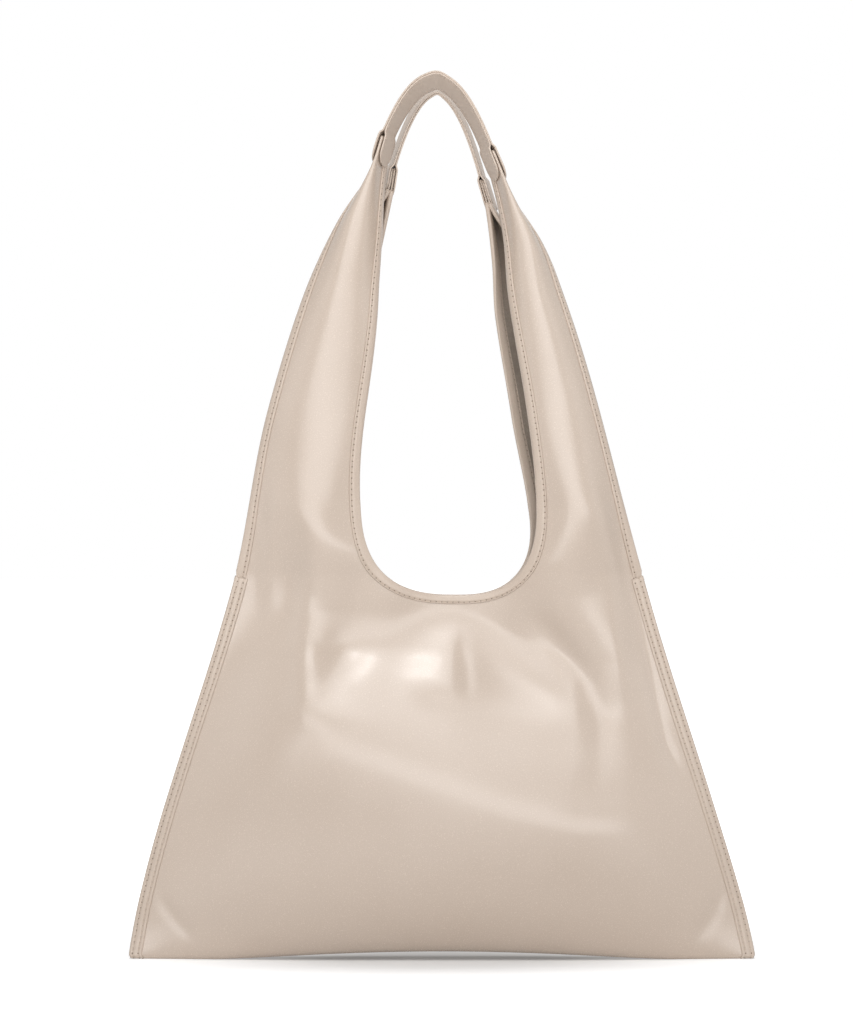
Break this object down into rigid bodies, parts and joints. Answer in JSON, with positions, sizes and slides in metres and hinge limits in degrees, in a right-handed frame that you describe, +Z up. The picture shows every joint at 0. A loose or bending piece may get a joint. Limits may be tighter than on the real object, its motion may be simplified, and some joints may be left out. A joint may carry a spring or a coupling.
{
  "type": "shopper bag",
  "caption": "Soft triangular shopper bag with a deep U-shaped mouth, bound edges, a hidden magnetic snap and strap handles that fold over to the front and the back.",
  "frame": {"origin": "on the floor under the middle of the base", "axes": "+Z up along the handles, +X to the right of the front panel, front panel towards -Y"},
  "size_m": [0.4502, 0.0826, 0.6344],
  "materials": {
    "leather": "smooth semi-gloss artificial leather, warm beige",
    "binding": "thin folded strip of the same artificial leather",
    "thread": "matt sewing thread, a little paler than the leather",
    "tape": "woven seam tape",
    "nickel": "satin nickel plate"
  },
  "bodies": {
    "bag": {"front_panel": "leather", "front_mouth_binding": "binding", "front_mouth_thread": "thread", "front_snap_patch": "leather", "back_panel": "leather", "back_mouth_binding": "binding", "back_mouth_thread": "thread", "back_snap_patch": "leather", "left_side_binding": "binding", "left_side_thread_front_inner": "thread", "left_side_thread_front_outer": "thread", "left_side_thread_back_outer": "thread", "left_side_thread_back_inner": "thread", "left_bar_tack": "thread", "right_side_binding": "binding", "right_side_thread_front_inner": "thread", "right_side_thread_front_outer": "thread", "right_side_thread_back_outer": "thread", "right_side_thread_back_inner": "thread", "right_bar_tack": "thread", "base_strip": "tape", "base_strip_thread": "thread", "snap_stud": "nickel", "snap_socket": "nickel"},
    "front_handle": {"front_left_horn": "leather", "front_left_slit_binding": "binding", "front_left_slit_thread": "thread", "front_left_rim_binding": "binding", "front_left_rim_thread": "thread", "front_right_horn": "leather", "front_right_slit_binding": "binding", "front_right_slit_thread": "thread", "front_right_rim_binding": "binding", "front_right_rim_thread": "thread", "front_strap_outer": "leather", "front_strap_inner": "leather", "front_strap_outer_thread": "thread", "front_strap_inner_thread": "thread"},
    "back_handle": {"back_left_horn": "leather", "back_left_slit_binding": "binding", "back_left_slit_thread": "thread", "back_left_rim_binding": "binding", "back_left_rim_thread": "thread", "back_right_horn": "leather", "back_right_slit_binding": "binding", "back_right_slit_thread": "thread", "back_right_rim_binding": "binding", "back_right_rim_thread": "thread", "back_strap_outer": "leather", "back_strap_inner": "leather", "back_strap_outer_thread": "thread", "back_strap_inner_thread": "thread"}
  },
  "joints": [
    {"name": "front_handle_fold", "type": "hinge", "parent": "bag", "child": "front_handle", "pos_m": [0, -0.0227, 0.284], "axis": [1, 0, 0], "range_deg": [0, 135]},
    {"name": "back_handle_fold", "type": "hinge", "parent": "bag", "child": "back_handle", "pos_m": [0, 0.0227, 0.284], "axis": [-1, 0, 0], "range_deg": [0, 135]}
  ]
}
